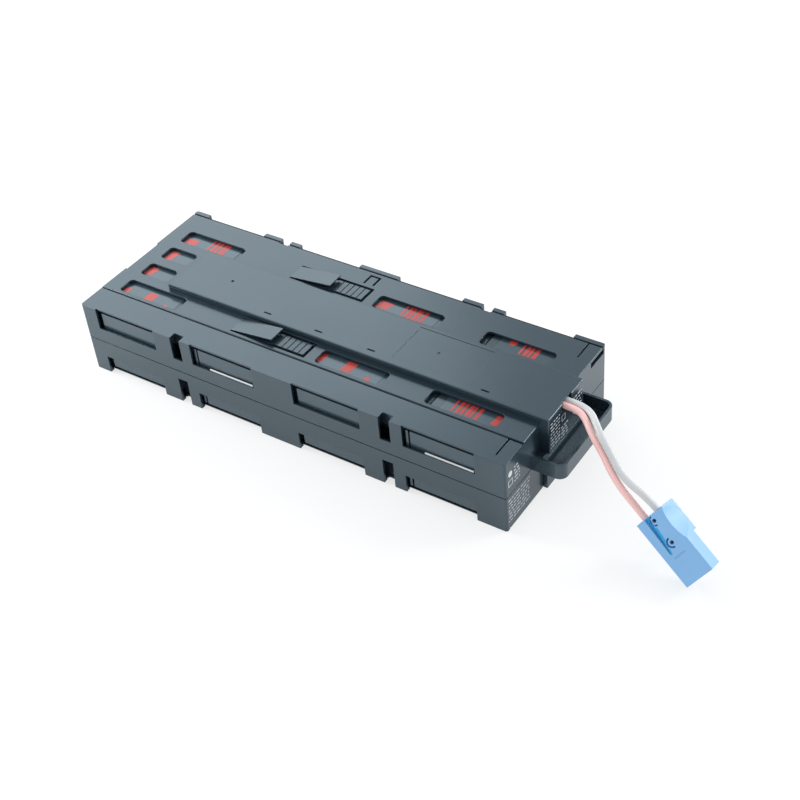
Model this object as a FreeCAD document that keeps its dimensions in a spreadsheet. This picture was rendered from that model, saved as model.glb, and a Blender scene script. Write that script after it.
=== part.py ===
import FreeCAD, Part
import Sketcher
import math
import os
import re

# Battery cartridge for a rack power supply: two moulded half shells that hold four sealed
# lead-acid batteries, a wiring cover along the top, a pull handle at the +X end and two
# leads that end in a two-pole connector.
# Millimetres. X runs along the length with the handle at +X, Y across, Z up.
# The origin is the centre of the lower shell's resting face.

SIZES = (
    # Housing, both shells
    ("housing_length", 433.0),
    ("housing_width", 164.0),
    ("housing_height", 72.0),
    ("shell_wall", 2.2),
    ("plate_thickness", 2.2),
    ("strip_width", 28.7),
    ("strip_step", 0.8),
    ("back_strip_width", 5.7),
    ("back_groove_width", 1.4),
    ("back_groove_depth", 1.3),
    ("corner_radius", 2.0),
    ("rim_radius", 0.7),
    ("seam_height", 0.9),
    ("seam_depth", 0.8),
    # Batteries
    ("battery_side_gap", 6.5),
    ("battery_level_gap", 3.5),
    ("battery_end_margin", 3.5),
    ("battery_far_margin", 6.5),
    ("terminal_gap", 20.0),
    ("middle_gap", 7.0),
    ("battery_edge_radius", 2.0),
    ("lid_depth", 12.0),
    ("lid_inset", 0.8),
    ("lid_groove_width", 1.8),
    ("lid_groove_depth", 1.4),
    ("vent_cover_margin", 19.5),
    ("vent_cover_width", 22.0),
    ("vent_cover_depth", 2.4),
    ("vent_cover_proud", 0.6),
    ("terminal_well_width", 17.0),
    ("terminal_well_height", 13.0),
    ("terminal_well_depth", 5.0),
    ("terminal_edge_distance", 11.5),
    ("terminal_rise", 15.0),
    ("blade_width", 6.35),
    ("blade_thickness", 0.8),
    ("blade_reach", 6.5),
    ("label_thickness", 0.2),
    ("label_side_margin", 16.0),
    ("label_end_margin", 8.0),
    # Windows over each battery, placed from the middle of a terminal gap
    ("left_window_offset", 90.6),
    ("right_window_offset", 16.8),
    ("window_length", 66.4),
    ("window_row_pitch", 28.2),
    ("window_row_width", 17.8),
    ("window_row_shift", 1.2),
    ("window_radius", 4.0),
    ("short_window_length", 32.0),
    ("front_window_height", 22.0),
    ("front_window_notch", 1.5),
    ("back_window_height", 18.0),
    ("clip_slot_width", 10.5),
    ("clip_slot_shift", 0.2),
    ("clip_slot_reach", 7.3),
    ("front_slot_depth", 23.5),
    ("back_slot_depth", 26.0),
    ("end_notch_width", 44.0),
    ("end_notch_depth", 2.0),
    ("slit_width", 1.5),
    ("tab_length", 11.5),
    ("tab_outer_margin", 7.6),
    ("back_tab_inner", 56.0),
    ("tab_window_low", 7.6),
    ("tab_window_reach", 3.6),
    # Ribs inside the shells
    ("rib_thickness", 1.6),
    ("seat_rib_inset", 20.0),
    ("divider_depth", 10.0),
    ("spacer_depth", 12.0),
    ("spacer_inset", 9.4),
    ("end_rib_inset", 30.0),
    ("side_rib_before", 18.0),
    ("side_rib_after", 13.0),
    # Finger latches beside the wiring cover
    ("latch_start", 36.5),
    ("latch_spare", 16.0),
    ("latch_width", 20.5),
    ("front_latch_offset", 29.5),
    ("back_latch_offset", 35.5),
    ("ramp_lap", 2.0),
    ("ramp_rise", 5.2),
    ("ramp_thickness", 1.4),
    ("ramp_inset", 1.6),
    ("tongue_clearance", 2.8),
    ("tongue_thickness", 2.0),
    ("tongue_drop", 0.8),
    ("grip_rib_count", 6.0),
    ("grip_rib_pitch", 5.6),
    ("grip_rib_width", 4.7),
    ("grip_rib_height", 0.9),
    ("guide_tab_width", 11.5),
    ("guide_tab_length", 12.8),
    ("guide_tab_gap", 3.7),
    ("guide_tab_shift", 3.6),
    ("guide_slit_width", 2.0),
    # Wiring cover
    ("cover_start", 58.0),
    ("cover_width", 57.2),
    ("cover_height", 6.0),
    ("cover_wall", 1.4),
    ("cover_overhang", 8.0),
    ("cover_drop", 29.0),
    ("cover_edge_radius", 1.1),
    ("cover_line_drop", 1.7),
    ("cover_line_height", 0.7),
    ("cover_line_depth", 0.5),
    ("cover_panel_lead", 31.4),
    ("cover_panel_length", 71.6),
    ("cover_panel_width", 44.0),
    ("cover_panel_shift", 2.0),
    ("cover_panel_depth", 0.35),
    ("mould_slot_length", 7.6),
    ("mould_slot_width", 1.5),
    ("mould_slot_offset", 21.2),
    ("gate_mark_radius", 1.4),
    ("gate_mark_depth", 0.9),
    ("gate_mark_shift", 1.6),
    ("channel_half_width", 9.0),
    ("channel_lead_in", 9.0),
    ("lead_notch_width", 15.5),
    # Snap hooks of the wiring cover, placed from the middle of a terminal gap
    ("hook_place_1", 56.2),
    ("hook_place_2", 110.0),
    ("hook_place_3", 51.5),
    ("hook_place_4", 57.5),
    ("hook_length", 6.0),
    ("hook_thickness", 1.2),
    ("hook_catch", 1.1),
    ("hook_clearance", 0.3),
    ("hook_foot", 0.9),
    # Pull handle
    ("handle_reach", 28.8),
    ("handle_width", 87.0),
    ("handle_height", 14.2),
    ("handle_drop", 0.4),
    ("handle_wall", 2.2),
    ("handle_floor", 2.0),
    ("handle_corner_radius", 7.5),
    ("handle_ledge", 6.0),
    ("handle_ledge_margin", 6.5),
    ("handle_hook_offset", 33.0),
    ("handle_hook_width", 8.0),
    ("handle_hook_thickness", 2.0),
    ("handle_hook_shank", 4.0),
    ("handle_hook_rise", 7.5),
    # Middle pad on the lower end wall
    ("end_pad_reach", 3.6),
    ("end_pad_width", 48.0),
    ("end_pad_top_gap", 2.5),
    ("end_groove_width", 1.6),
    ("end_groove_depth", 0.8),
    # Leads, inner wiring and receptacles
    ("lead_diameter", 5.6),
    ("positive_lead_offset", -1.8),
    ("negative_lead_offset", 4.4),
    ("lead_exit_rise", 0.9),
    ("lead_notch_clearance", 0.4),
    ("jumper_diameter", 4.6),
    ("cross_run_rise", 24.0),
    ("lead_bend", 4.0),
    ("jumper_bend", 3.2),
    ("rise_bend", 4.8),
    ("channel_bend", 6.0),
    ("receptacle_width", 9.0),
    ("receptacle_height", 4.2),
    ("receptacle_length", 8.0),
    ("receptacle_setback", 0.4),
    # Connector
    ("connector_length", 57.7),
    ("connector_width", 25.9),
    ("connector_depth", 17.9),
    ("connector_rear_depth", 24.3),
    ("connector_rear_length", 28.3),
    ("connector_edge_radius", 0.8),
    ("connector_yaw", -13.7),
    ("connector_pitch", 32.3),
    ("connector_roll", 59.2),
    ("connector_reach", 91.6),
    ("connector_y", -61.9),
    ("mouth_depth", 20.0),
    ("mouth_wall", 1.8),
    ("contact_width", 8.0),
    ("contact_thickness", 2.4),
    ("contact_length", 34.0),
    ("contact_setback", 3.0),
    ("contact_seat", 6.0),
    ("scallop_depth", 2.7),
    ("scallop_length", 28.3),
    ("pin_hole_radius", 1.6),
    ("pin_hole_depth", 4.0),
    ("pin_ring_radius", 4.4),
    ("pin_ring_width", 1.3),
    ("pin_ring_depth", 3.0),
    ("pin_hole_first", 4.9),
    ("pin_hole_second", 25.0),
    ("pin_hole_line", 14.0),
    ("relief_depth", 2.2),
    ("relief_length", 31.9),
    ("relief_start", 7.8),
    ("relief_width", 4.9),
    ("relief_tip", 7.0),
    ("face_step_depth", 0.3),
    ("face_step_start", 35.0),
    ("face_step_width", 1.2),
)

doc = FreeCAD.newDocument("BatteryCartridge")
sheet = doc.addObject("Spreadsheet::Sheet", "Sizes")
for row, (alias, number) in enumerate(SIZES, start=1):
    sheet.set(f"A{row}", alias)
    sheet.set(f"B{row}", str(number))
    sheet.setAlias(f"B{row}", alias)
doc.recompute()
ALIASES = {alias for alias, number in SIZES}


def size(alias):
    """A size as a number, for shapes that are made from points or picked edges."""
    return float(sheet.get(alias))


def formula(text):
    """Turn plain names of sizes into references to the sheet."""
    def reference(word):
        name = word.group()
        return f"Sizes.{name}" if name in ALIASES else name
    return re.sub(r"[A-Za-z_]\w*", reference, str(text))


def bind(item, **rules):
    for key, text in rules.items():
        item.setExpression(key, formula(text))


def place(item, x="0", y="0", z="0"):
    for axis, text in (("x", x), ("y", y), ("z", z)):
        item.setExpression(f".Placement.Base.{axis}", formula(text))


def slab(name, x, y, z):
    """A block between two formulas along each axis."""
    item = doc.addObject("Part::Box", name)
    bind(item, Length=f"({x[1]}) - ({x[0]})", Width=f"({y[1]}) - ({y[0]})",
         Height=f"({z[1]}) - ({z[0]})")
    place(item, x[0], y[0], z[0])
    return item


def rod(name, radius, height, x, y, z):
    item = doc.addObject("Part::Cylinder", name)
    bind(item, Radius=radius, Height=height)
    place(item, x, y, z)
    return item


def prism(name, corners, turn, start, depth):
    """A closed outline in a plane, drawn out along the plane's normal."""
    sketch = doc.addObject("Sketcher::SketchObject", f"{name}_outline")
    count = len(corners)
    ring = [FreeCAD.Vector(math.cos(2 * math.pi * i / count), math.sin(2 * math.pi * i / count), 0)
            for i in range(count)]
    for i in range(count):
        sketch.addGeometry(Part.LineSegment(ring[i], ring[(i + 1) % count]))
    for i in range(count):
        sketch.addConstraint(Sketcher.Constraint("Coincident", i, 2, (i + 1) % count, 1))
    for i, corner in enumerate(corners):
        for kind, text in zip(("DistanceX", "DistanceY"), corner):
            number = sketch.addConstraint(Sketcher.Constraint(kind, -1, 1, i, 1, 1.0))
            sketch.setExpression(f"Constraints[{number}]", formula(text))
    sketch.Placement = FreeCAD.Placement(FreeCAD.Vector(), turn)
    place(sketch, *start)
    item = doc.addObject("Part::Extrusion", name)
    item.Base = sketch
    item.DirMode = "Normal"
    item.Solid = True
    bind(item, LengthFwd=depth)
    return item


def fuse(name, items, refine=True):
    item = doc.addObject("Part::MultiFuse", name)
    item.Shapes = items
    item.Refine = refine
    return item


def cut(name, base, tools):
    """Take every tool from the base in one step."""
    item = doc.addObject("Part::Cut", name)
    item.Base = base
    item.Tool = tools[0] if len(tools) == 1 else fuse(f"{name}_tools", tools, refine=False)
    item.Refine = True
    return item


def rounded(name, base, radius, wanted):
    """Round the edges that the test function picks."""
    doc.recompute()
    item = doc.addObject("Part::Fillet", name)
    item.Base = base
    picks = [number for number, edge in enumerate(base.Shape.Edges, start=1) if wanted(edge)]
    item.Edges = [(number, radius, radius) for number in picks]
    return item


def runs_along(edge, axis):
    first, last = edge.Vertexes[0].Point, edge.Vertexes[-1].Point
    across = [abs(first[i] - last[i]) for i in range(3) if i != axis]
    return max(across) < NEAR and abs(first[axis] - last[axis]) > NEAR


def upright(edge):
    return runs_along(edge, 2)


# Turns that lay a sketch in the XZ plane, its normal towards -Y
IN_XZ = FreeCAD.Rotation(FreeCAD.Vector(1, 0, 0), 90)
FLAT = FreeCAD.Rotation()
# A length under which two points count as one
NEAR = 1e-6
# How far a cutter passes beyond the face it leaves by, and a rib sinks into its wall
PAST = "1"
INTO = "0.2"
# How far a cutter through the plate clears the plate's underside
UNDER = "0.5"

# Places shared by several pieces
HALF_LENGTH = "housing_length / 2"
HALF_WIDTH = "housing_width / 2"
STRIP_EDGE = "(housing_width / 2 - strip_width)"
PLATE_EDGE = "(housing_width / 2 - back_strip_width)"
SLOT_INNER = "(housing_width / 2 - clip_slot_reach)"
PARTING = "housing_height / 2"
PLATE_UNDERSIDE = "housing_height - plate_thickness"
STRIP_TOP = "housing_height - strip_step"
BATTERY_TOP = "(housing_height - battery_level_gap)"
BATTERY_BOTTOM = "battery_level_gap"
BATTERY_SIDE = "(housing_width / 2 - battery_side_gap)"
BATTERY_LENGTH = ("((housing_length - battery_end_margin - battery_far_margin"
                  " - 2 * terminal_gap - middle_gap) / 4)")
INNER_X = "(housing_length / 2 - shell_wall)"
INNER_Y = "(housing_width / 2 - shell_wall)"
BATTERY_1 = "(battery_end_margin - housing_length / 2)"
GAP_1 = f"({BATTERY_1} + {BATTERY_LENGTH})"
BATTERY_2 = f"({GAP_1} + terminal_gap)"
BATTERY_3 = f"({BATTERY_2} + {BATTERY_LENGTH} + middle_gap)"
GAP_2 = f"({BATTERY_3} + {BATTERY_LENGTH})"
BATTERY_4 = f"({GAP_2} + terminal_gap)"
BATTERY_4_END = f"({BATTERY_4} + {BATTERY_LENGTH})"
PAIR_CENTRES = (f"({GAP_1} + terminal_gap / 2)", f"({GAP_2} + terminal_gap / 2)")
WINDOW_STARTS = tuple(f"({centre} {offset})" for centre in PAIR_CENTRES
                      for offset in ("- left_window_offset", "+ right_window_offset"))
COVER_BEGIN = "(cover_start - housing_length / 2)"
COVER_END = "(housing_length / 2 + cover_overhang)"
COVER_TOP = "(housing_height + cover_height)"
COVER_HALF = "(cover_width / 2)"
LATCH_BEGIN = f"({PAIR_CENTRES[0]} + latch_start)"
LATCH_END = f"({LATCH_BEGIN} + {BATTERY_LENGTH} - latch_spare)"
TONGUE_TIP = f"({LATCH_END} - tongue_clearance)"
RAMP_END = f"({TONGUE_TIP} - grip_rib_count * grip_rib_pitch + ramp_lap)"
LATCH_SPANS = {"front": ("-front_latch_offset - latch_width", "-front_latch_offset"),
               "back": ("back_latch_offset", "back_latch_offset + latch_width")}
HOOK_CENTRES = (f"({PAIR_CENTRES[0]} + hook_place_1)", f"({PAIR_CENTRES[0]} + hook_place_2)",
                f"({PAIR_CENTRES[1]} - hook_place_3)", f"({PAIR_CENTRES[1]} + hook_place_4)")
HANDLE_BOTTOM = f"({PARTING} - handle_drop)"
HANDLE_TOP = f"({HANDLE_BOTTOM} + handle_height)"
LEDGE_TOP = "(housing_height - cover_drop)"
LEAD_LEVEL = "(housing_height + lead_exit_rise)"
HOOK_SHANK_BOTTOM = f"({HANDLE_BOTTOM} + handle_floor)"
SIDES = ((-1, "front"), (1, "back"))


def shell(name, upper):
    """One moulded half: plate, walls, windows, clip slots and inner ribs, made plate side up."""
    half_width = size("housing_width") / 2
    block = slab(f"{name}_block", (f"-{HALF_LENGTH}", HALF_LENGTH),
                 (f"-{HALF_WIDTH}", HALF_WIDTH), (PARTING, STRIP_TOP))
    body = rounded(f"{name}_block_corners", block, size("corner_radius"), upright)
    plate = slab(f"{name}_plate", (f"-{HALF_LENGTH}", HALF_LENGTH),
                 (f"-{STRIP_EDGE}", PLATE_EDGE), (PLATE_UNDERSIDE, "housing_height"))
    plate_rim = rounded(f"{name}_plate_rim", plate, size("rim_radius"),
                        lambda edge: edge.BoundBox.ZMin > size("housing_height") - NEAR)
    strip = slab(f"{name}_back_strip", (f"-{HALF_LENGTH}", HALF_LENGTH),
                 (f"{PLATE_EDGE} + back_groove_width", HALF_WIDTH),
                 (PLATE_UNDERSIDE, "housing_height"))
    strip_ends = rounded(f"{name}_back_strip_ends", strip, size("corner_radius"),
                         lambda edge: upright(edge) and edge.BoundBox.YMin > half_width - NEAR)
    outside = fuse(f"{name}_outside", [body, plate_rim, strip_ends])
    hollow = slab(f"{name}_hollow", (f"-{INNER_X}", INNER_X), (f"-{INNER_Y}", INNER_Y),
                  (f"{PARTING} - {PAST}", PLATE_UNDERSIDE))
    ribbed = fuse(f"{name}_ribbed", [cut(f"{name}_tray", outside, [hollow])] + inner_ribs(name))
    openings = window_cutters(name) + slot_cutters(name)
    if upper:
        opened = cut(f"{name}_opened", ribbed, openings + upper_cutters(name))
        return fuse(name, [opened] + latches(name))
    opened = cut(f"{name}_opened", ribbed, openings + lower_cutters(name))
    pad = slab(f"{name}_end_pad", (f"{HALF_LENGTH} - {INTO}", f"{HALF_LENGTH} + end_pad_reach"),
               ("-end_pad_width / 2", "end_pad_width / 2"),
               (f"{PARTING} + end_pad_top_gap", "housing_height"))
    return fuse(name, [opened, pad])


def facing(side, near, far):
    """The span between two distances from the XZ plane, on one side of it."""
    return (near, far) if side > 0 else (f"-({far})", f"-({near})")


def rib_across(middle):
    return f"{middle} - rib_thickness / 2", f"{middle} + rib_thickness / 2"


def inner_ribs(name):
    """Ribs that seat, space and part the batteries."""
    ribs = []
    low, high = f"{PARTING} + {PAST}", f"{PLATE_UNDERSIDE} + {INTO}"
    divider_low = f"{PLATE_UNDERSIDE} - divider_depth"
    for start in (f"{BATTERY_2} + {BATTERY_LENGTH}", f"{BATTERY_3} - rib_thickness"):
        ribs.append(slab(f"{name}_divider", (start, f"{start} + rib_thickness"),
                         (f"-{INNER_Y} - {INTO}", f"{INNER_Y} + {INTO}"), (divider_low, high)))
    for side, word in SIDES:
        ribs.append(slab(f"{name}_{word}_seat", (BATTERY_1, BATTERY_4_END),
                         rib_across(f"{side} * ({HALF_WIDTH} - seat_rib_inset)"), (BATTERY_TOP, high)))
        for start in (GAP_1, GAP_2):
            ribs.append(slab(f"{name}_{word}_spacer", (start, f"{start} + terminal_gap"),
                             rib_across(f"{side} * ({HALF_WIDTH} - spacer_inset)"),
                             (f"{PLATE_UNDERSIDE} - spacer_depth", high)))
        for span in ((f"-{INNER_X} - {INTO}", BATTERY_1), (BATTERY_4_END, f"{INNER_X} + {INTO}")):
            ribs.append(slab(f"{name}_{word}_end_rib", span,
                             rib_across(f"{side} * ({HALF_WIDTH} - end_rib_inset)"), (low, high)))
        reach = facing(side, BATTERY_SIDE, f"{INNER_Y} + {INTO}")
        for centre in PAIR_CENTRES:
            for shift in ("- side_rib_before", "+ side_rib_after"):
                ribs.append(slab(f"{name}_{word}_side_rib", rib_across(f"{centre} {shift}"),
                                 reach, (low, high)))
    return ribs


def window_cutters(name):
    """Windows through the plate and both long walls, the same over every battery."""
    tools = []
    for number, start in enumerate(WINDOW_STARTS, start=1):
        span = (start, f"{start} + window_length")
        sill = "housing_height - front_window_height"
        tools.append(slab(f"{name}_front_window_{number}", span,
                          (f"-{HALF_WIDTH} - {PAST}", f"-{INNER_Y} + {PAST}"),
                          (sill, PLATE_UNDERSIDE)))
        tools.append(slab(f"{name}_front_notch_{number}", span,
                          (f"-{HALF_WIDTH} - {PAST}", f"-{HALF_WIDTH} + front_window_notch"),
                          (sill, f"housing_height + {PAST}")))
        tools.append(slab(f"{name}_back_window_{number}", span,
                          (f"{PLATE_EDGE} + back_groove_width", f"{HALF_WIDTH} + {PAST}"),
                          ("housing_height - back_window_height", f"housing_height + {PAST}")))
        for row in (-3, 3) if number != 2 else ():
            tools.append(plate_window(f"{name}_window_{number}_{row + 4}", span, row))
    short = (WINDOW_STARTS[0], f"{WINDOW_STARTS[0]} + short_window_length")
    for row in (-1, 1):
        tools.append(plate_window(f"{name}_short_window_{row + 2}", short, row))
    return tools


def plate_window(name, span, row):
    """One round-cornered window in the plate, in a row counted in half pitches."""
    middle = f"window_row_shift + {row} * window_row_pitch / 2"
    pane = slab(f"{name}_pane", span,
                (f"{middle} - window_row_width / 2", f"{middle} + window_row_width / 2"),
                (f"{PLATE_UNDERSIDE} - {UNDER}", f"housing_height + {PAST}"))
    return rounded(name, pane, size("window_radius"), upright)


def through_plate(name, x, y):
    return slab(name, x, y, (f"{PLATE_UNDERSIDE} - {UNDER}", f"housing_height + {PAST}"))


def slot_cutters(name):
    """Clip slots, the end notch, the back groove and the slits that free the end tabs."""
    tools = []
    top = f"housing_height + {PAST}"
    groove = (PLATE_EDGE, f"{PLATE_EDGE} + back_groove_width")
    for centre in PAIR_CENTRES:
        middle = f"{centre} + clip_slot_shift"
        span = (f"{middle} - clip_slot_width / 2", f"{middle} + clip_slot_width / 2")
        tools.append(slab(f"{name}_front_slot", span,
                          (f"-{HALF_WIDTH} - {PAST}", f"-{SLOT_INNER}"),
                          ("housing_height - front_slot_depth", top)))
        tools.append(slab(f"{name}_back_slot", span,
                          (SLOT_INNER, f"{HALF_WIDTH} + {PAST}"),
                          ("housing_height - back_slot_depth", top)))
    tools.append(slab(f"{name}_end_notch",
                      (f"-{HALF_LENGTH} - {PAST}", f"-{HALF_LENGTH} + end_notch_depth"),
                      ("-end_notch_width / 2", "end_notch_width / 2"), (PLATE_UNDERSIDE, top)))
    tools.append(slab(f"{name}_back_groove",
                      (f"-{HALF_LENGTH} - {PAST}", f"{HALF_LENGTH} + {PAST}"), groove,
                      ("housing_height - back_groove_depth", top)))
    tab = f"({HALF_LENGTH} - tab_length)"
    tabs = (("front", (f"-{HALF_WIDTH} + tab_outer_margin", f"-{STRIP_EDGE}"),
             (f"-{STRIP_EDGE} - slit_width", f"-{STRIP_EDGE}")),
            ("back", ("back_tab_inner", groove[1]), groove))
    for word, across, beside in tabs:
        tools.append(through_plate(f"{name}_{word}_tab_slit", (f"{tab} - slit_width", tab),
                                   across))
        tools.append(through_plate(f"{name}_{word}_tab_side",
                                   (f"{tab} - slit_width", f"{HALF_LENGTH} + {PAST}"), beside))
    return tools


def upper_cutters(name):
    """Wire channel under the cover, latch openings and the slots for hooks."""
    top = f"housing_height + {PAST}"
    tools = [slab(f"{name}_channel",
                  (f"{PAIR_CENTRES[0]} - channel_lead_in", f"{HALF_LENGTH} + {PAST}"),
                  ("-channel_half_width", "channel_half_width"), (BATTERY_TOP, top))]
    for word, across in LATCH_SPANS.items():
        tools.append(through_plate(f"{name}_{word}_latch_opening", (LATCH_BEGIN, LATCH_END),
                                   across))
    for side, word in SIDES:
        outer = f"({COVER_HALF} - cover_wall + hook_clearance)"
        inner = f"({outer} - hook_thickness - hook_catch - 2 * hook_clearance)"
        for centre in HOOK_CENTRES:
            half = "(hook_length / 2 + hook_clearance)"
            span = (f"{centre} - {half}", f"{centre} + {half}")
            tools.append(through_plate(f"{name}_{word}_hook_slot", span,
                                       facing(side, inner, outer)))
            tools.append(slab(f"{name}_{word}_catch_room", span,
                              facing(side, inner, f"{outer} + hook_catch"),
                              (BATTERY_TOP, PLATE_UNDERSIDE)))
        middle = f"{side} * handle_hook_offset"
        half = "(handle_hook_width / 2 + hook_clearance)"
        tools.append(slab(f"{name}_{word}_handle_slot",
                          (f"{INNER_X} - {PAST}", f"{HALF_LENGTH} + {PAST}"),
                          (f"{middle} - {half}", f"{middle} + {half}"),
                          (f"{HOOK_SHANK_BOTTOM} - hook_clearance",
                           f"{HOOK_SHANK_BOTTOM} + handle_hook_shank + hook_clearance")))
    guide_end = f"({LATCH_END} - guide_tab_shift)"
    guide_start = f"({guide_end} - guide_tab_width)"
    root = "(back_latch_offset + latch_width + guide_tab_gap)"
    reach = (root, f"{root} + guide_tab_length")
    tools.append(through_plate(f"{name}_guide_slit_left",
                               (guide_start, f"{guide_start} + guide_slit_width"), reach))
    tools.append(through_plate(f"{name}_guide_slit_right",
                               (f"{guide_end} - guide_slit_width", guide_end), reach))
    tools.append(through_plate(f"{name}_guide_slit_end", (guide_start, guide_end),
                               (f"{reach[1]} - guide_slit_width", reach[1])))
    tools.append(slab(f"{name}_tab_window", (f"{INNER_X} - {PAST}", f"{HALF_LENGTH} + {PAST}"),
                      ("back_tab_inner", f"{HALF_WIDTH} - tab_window_reach"),
                      ("housing_height - tab_window_low", PLATE_UNDERSIDE)))
    return tools


def latches(name):
    """A louvred ramp and a ribbed spring tongue on each side of the wiring cover."""
    pieces = []
    tongue_top = "(housing_height - tongue_drop)"
    for word, across in LATCH_SPANS.items():
        low_side, high_side = f"{across[0]} + ramp_inset", f"{across[1]} - ramp_inset"
        top, end = "ramp_thickness + ramp_rise", f"({RAMP_END} - {LATCH_BEGIN} + {INTO})"
        pieces.append(prism(f"{name}_{word}_ramp",
                            (("0", "0"), (INTO, "0"), (end, "ramp_rise"), (end, top),
                             (INTO, "ramp_thickness"), ("0", "ramp_thickness")), IN_XZ,
                            (f"{LATCH_BEGIN} - {INTO}", high_side,
                             "housing_height - ramp_thickness"),
                            f"({high_side}) - ({low_side})"))
        tongue = (f"{across[0]} + tongue_clearance", f"{across[1]} - tongue_clearance")
        pieces.append(slab(f"{name}_{word}_tongue", (f"{LATCH_BEGIN} - {INTO}", TONGUE_TIP), tongue,
                           (f"{tongue_top} - tongue_thickness", tongue_top)))
        for number in range(int(size("grip_rib_count"))):
            end = f"({TONGUE_TIP} - {number} * grip_rib_pitch)"
            pieces.append(slab(f"{name}_{word}_grip_rib", (f"{end} - grip_rib_width", end),
                               tongue, (f"{tongue_top} - {INTO}",
                                        f"{tongue_top} + grip_rib_height")))
    return pieces


def lower_cutters(name):
    """A shadow line round the parting face and a groove each side of the end pad."""
    band = (f"{PARTING} - {PAST}", f"{PARTING} + seam_height")
    long_way = (f"-{HALF_LENGTH} - {PAST}", f"{HALF_LENGTH} + {PAST}")
    cross_way = (f"-{HALF_WIDTH} - {PAST}", f"{HALF_WIDTH} + {PAST}")
    tools = []
    for side, word in SIDES:
        for axis, half in (("x", HALF_LENGTH), ("y", HALF_WIDTH)):
            edge = facing(side, f"{half} - seam_depth", f"{half} + {PAST}")
            spans = (edge, cross_way) if axis == "x" else (long_way, edge)
            tools.append(slab(f"{name}_{word}_seam", spans[0], spans[1], band))
        edge = f"{side} * (end_pad_width / 2 + end_groove_width / 2)"
        tools.append(slab(f"{name}_{word}_end_groove",
                          (f"{HALF_LENGTH} - end_groove_depth", f"{HALF_LENGTH} + {PAST}"),
                          (f"{edge} - end_groove_width / 2", f"{edge} + end_groove_width / 2"),
                          (band[0], f"housing_height + {PAST}")))
    return tools


def wiring_cover():
    """A shallow channel cover along the top that drops over the end wall onto the handle."""
    name = "wiring_cover"
    across = (f"-{COVER_HALF}", COVER_HALF)
    top = slab(f"{name}_top", (COVER_BEGIN, COVER_END), across, ("housing_height", COVER_TOP))
    end = slab(f"{name}_end", (HALF_LENGTH, COVER_END), across, (LEDGE_TOP, COVER_TOP))
    block = fuse(f"{name}_block", [top, end])
    high = size("housing_height") + size("cover_height")
    right = size("housing_length") / 2 + size("cover_overhang")
    outside = rounded(f"{name}_outside", block, size("cover_edge_radius"),
                      lambda edge: edge.BoundBox.ZMin > high - NEAR
                      or (edge.BoundBox.XMin > right - NEAR and upright(edge)))
    inner = (f"-{COVER_HALF} + cover_wall", f"{COVER_HALF} - cover_wall")
    ceiling = f"{COVER_TOP} - cover_wall"
    hollow = slab(f"{name}_hollow", (f"{COVER_BEGIN} + cover_wall", f"{COVER_END} - cover_wall"),
                  inner, (f"housing_height - {PAST}", ceiling))
    end_hollow = slab(f"{name}_end_hollow",
                      (f"{HALF_LENGTH} - {PAST}", f"{COVER_END} - cover_wall"),
                      inner, (f"{LEDGE_TOP} + cover_wall", ceiling))
    notch_middle = "((positive_lead_offset + negative_lead_offset) / 2)"
    notch = slab(f"{name}_lead_notch",
                 (f"{COVER_END} - cover_wall - {INTO}", f"{COVER_END} + {PAST}"),
                 (f"{notch_middle} - lead_notch_width / 2", f"{notch_middle} + lead_notch_width / 2"),
                 (f"{LEAD_LEVEL} - lead_diameter / 2 - lead_notch_clearance",
                  f"{COVER_TOP} + {PAST}"))
    tools = [hollow, end_hollow, notch]
    for centre in HOOK_CENTRES:
        tools.append(slab(f"{name}_mould_slot",
                          (f"{centre} - mould_slot_length / 2", f"{centre} + mould_slot_length / 2"),
                          ("-mould_slot_offset - mould_slot_width / 2",
                           "-mould_slot_offset + mould_slot_width / 2"),
                          (f"{ceiling} - {PAST}", f"{COVER_TOP} + {PAST}")))
    line_top = f"({COVER_TOP} - cover_line_drop)"
    for side, word in SIDES:
        tools.append(slab(f"{name}_{word}_line",
                          (f"{COVER_BEGIN} - {PAST}", f"{COVER_END} - cover_edge_radius"),
                          facing(side, f"{COVER_HALF} - cover_line_depth", f"{COVER_HALF} + {PAST}"),
                          (f"{line_top} - cover_line_height", line_top)))
    for centre in PAIR_CENTRES:
        tools.append(rod(f"{name}_gate_mark", "gate_mark_radius", f"gate_mark_depth + {PAST}",
                         centre, "gate_mark_shift", f"{COVER_TOP} - gate_mark_depth"))
    panel_start = f"({PAIR_CENTRES[1]} - cover_panel_lead)"
    tools.append(slab(f"{name}_panel", (panel_start, f"{panel_start} + cover_panel_length"),
                      ("cover_panel_shift - cover_panel_width / 2",
                       "cover_panel_shift + cover_panel_width / 2"),
                      (f"{COVER_TOP} - cover_panel_depth", f"{COVER_TOP} + {PAST}")))
    return fuse(name, [cut(f"{name}_opened", outside, tools)] + cover_hooks(name, ceiling))


def cover_hooks(name, ceiling):
    """Snap hooks that pass through the plate and catch under it."""
    pieces = []
    foot = f"({PLATE_UNDERSIDE} - hook_foot)"
    outer = f"({COVER_HALF} - cover_wall)"
    for side, word in SIDES:
        inner = f"{outer} - hook_thickness"
        for centre in HOOK_CENTRES:
            span = (f"{centre} - hook_length / 2", f"{centre} + hook_length / 2")
            pieces.append(slab(f"{name}_{word}_leg", span, facing(side, inner, outer),
                               (foot, f"{ceiling} + {INTO}")))
            pieces.append(slab(f"{name}_{word}_catch", span,
                               facing(side, f"{outer} - {INTO}", f"{outer} + hook_catch"),
                               (foot, PLATE_UNDERSIDE)))
    return pieces


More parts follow.
